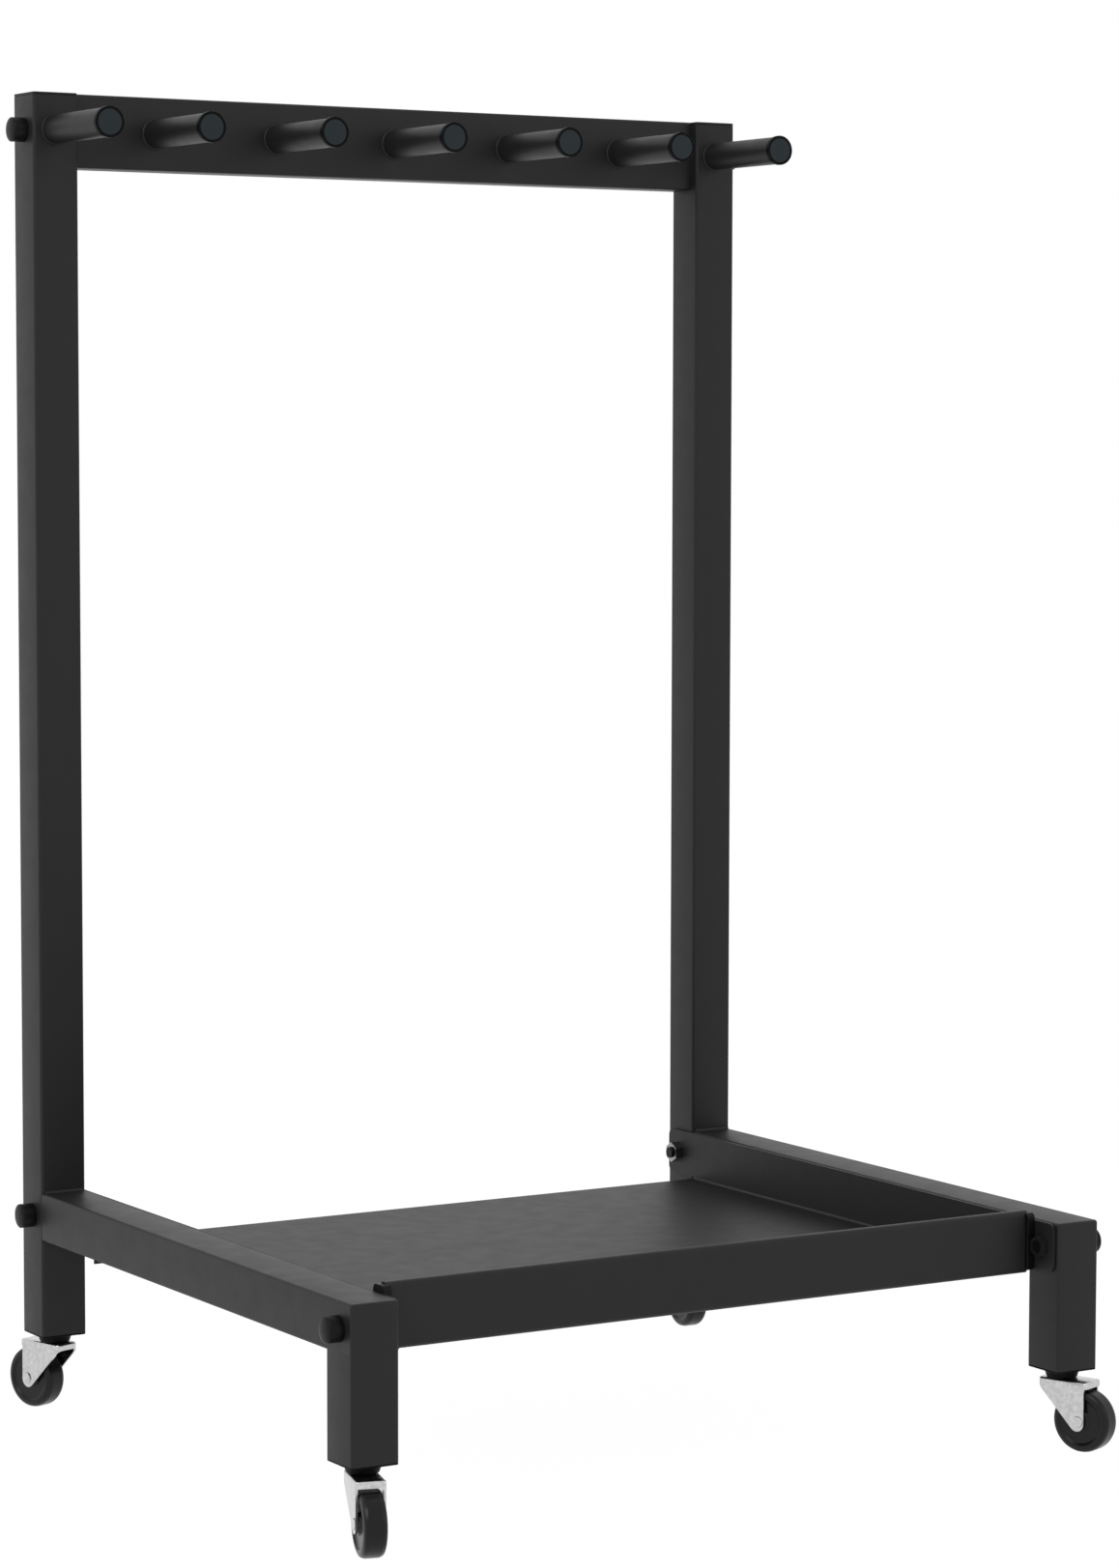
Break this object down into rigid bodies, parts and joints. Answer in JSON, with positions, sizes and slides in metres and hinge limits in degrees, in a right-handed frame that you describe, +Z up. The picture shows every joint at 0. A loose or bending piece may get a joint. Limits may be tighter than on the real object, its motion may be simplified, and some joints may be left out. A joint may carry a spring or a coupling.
{
  "type": "racket_display_stand",
  "caption": "Black steel display stand on swivel casters, with a row of pegs on its top rail and a shallow tray below, for rackets that stand with their heads down",
  "frame": {"origin": "on the floor, under the middle of the bounding box of the stand with its casters as they stand", "axes": "+Z up, -Y the front, where the tray's lip and the ends of the pegs face, +X to the right as seen from the front"},
  "size_m": [0.4466, 0.401, 0.69],
  "materials": {
    "coated_steel": "satin black powder coat",
    "black_plastic": "moulded, slightly glossy",
    "bright_zinc": "bright zinc plating",
    "black_steel": "black zinc plating",
    "wheel_plastic": "moulded, satin"
  },
  "bodies": {
    "stand": {"left_upright": "coated_steel", "left_base_rail": "coated_steel", "left_rail_end_plate": "coated_steel", "left_front_leg": "coated_steel", "left_upright_cap": "black_plastic", "corner_block_left": "black_plastic", "bolt_top_left": "black_plastic", "bolt_back_left": "black_plastic", "bolt_front_left": "black_plastic", "nut_back_left": "bright_zinc", "nut_front_left": "black_steel", "top_rail_insert_left": "bright_zinc", "right_upright": "coated_steel", "right_base_rail": "coated_steel", "right_rail_end_plate": "coated_steel", "right_front_leg": "coated_steel", "right_upright_cap": "black_plastic", "corner_block_right": "black_plastic", "bolt_top_right": "black_plastic", "bolt_back_right": "black_plastic", "bolt_front_right": "black_plastic", "nut_back_right": "bright_zinc", "nut_front_right": "black_steel", "top_rail_insert_right": "bright_zinc", "top_rail": "coated_steel", "shelf_tray": "coated_steel", "peg_1": "coated_steel", "peg_plug_1": "black_plastic", "peg_2": "coated_steel", "peg_plug_2": "black_plastic", "peg_3": "coated_steel", "peg_plug_3": "black_plastic", "peg_4": "coated_steel", "peg_plug_4": "black_plastic", "peg_5": "coated_steel", "peg_plug_5": "black_plastic", "peg_6": "coated_steel", "peg_plug_6": "black_plastic", "peg_7": "coated_steel", "peg_plug_7": "black_plastic", "caster_front_left_plug": "black_plastic", "caster_front_left_stem": "bright_zinc", "caster_front_right_plug": "black_plastic", "caster_front_right_stem": "bright_zinc", "caster_back_left_plug": "black_plastic", "caster_back_left_stem": "bright_zinc", "caster_back_right_plug": "black_plastic", "caster_back_right_stem": "bright_zinc"},
    "swivel_front_left": {"caster_front_left_fork": "bright_zinc", "caster_front_left_axle": "bright_zinc"},
    "wheel_front_left": {"caster_front_left_wheel": "wheel_plastic"},
    "swivel_front_right": {"caster_front_right_fork": "bright_zinc", "caster_front_right_axle": "bright_zinc"},
    "wheel_front_right": {"caster_front_right_wheel": "wheel_plastic"},
    "swivel_back_left": {"caster_back_left_fork": "bright_zinc", "caster_back_left_axle": "bright_zinc"},
    "wheel_back_left": {"caster_back_left_wheel": "wheel_plastic"},
    "swivel_back_right": {"caster_back_right_fork": "bright_zinc", "caster_back_right_axle": "bright_zinc"},
    "wheel_back_right": {"caster_back_right_wheel": "wheel_plastic"}
  },
  "joints": [
    {"name": "front_left_swivel", "type": "hinge", "parent": "stand", "child": "swivel_front_left", "pos_m": [-0.2025, -0.17071, 0.032], "axis": [0, 0, 1], "continuous": true},
    {"name": "front_left_wheel_turn", "type": "hinge", "parent": "swivel_front_left", "child": "wheel_front_left", "pos_m": [-0.20636, -0.18417, 0.016], "axis": [0.9613, -0.2756, 0], "continuous": true},
    {"name": "front_right_swivel", "type": "hinge", "parent": "stand", "child": "swivel_front_right", "pos_m": [0.2025, -0.17071, 0.032], "axis": [0, 0, 1], "continuous": true},
    {"name": "front_right_wheel_turn", "type": "hinge", "parent": "swivel_front_right", "child": "wheel_front_right", "pos_m": [0.20752, -0.18378, 0.016], "axis": [0.9336, 0.3584, 0], "continuous": true},
    {"name": "back_left_swivel", "type": "hinge", "parent": "stand", "child": "swivel_back_left", "pos_m": [-0.2025, 0.17029, 0.032], "axis": [0, 0, 1], "continuous": true},
    {"name": "back_left_wheel_turn", "type": "hinge", "parent": "swivel_back_left", "child": "wheel_back_left", "pos_m": [-0.20706, 0.18353, 0.016], "axis": [-0.9455, -0.3256, 0], "continuous": true},
    {"name": "back_right_swivel", "type": "hinge", "parent": "stand", "child": "swivel_back_right", "pos_m": [0.2025, 0.17029, 0.032], "axis": [0, 0, 1], "continuous": true},
    {"name": "back_right_wheel_turn", "type": "hinge", "parent": "swivel_back_right", "child": "wheel_back_right", "pos_m": [0.20372, 0.18424, 0.016], "axis": [-0.9962, 0.0872, 0], "continuous": true}
  ]
}
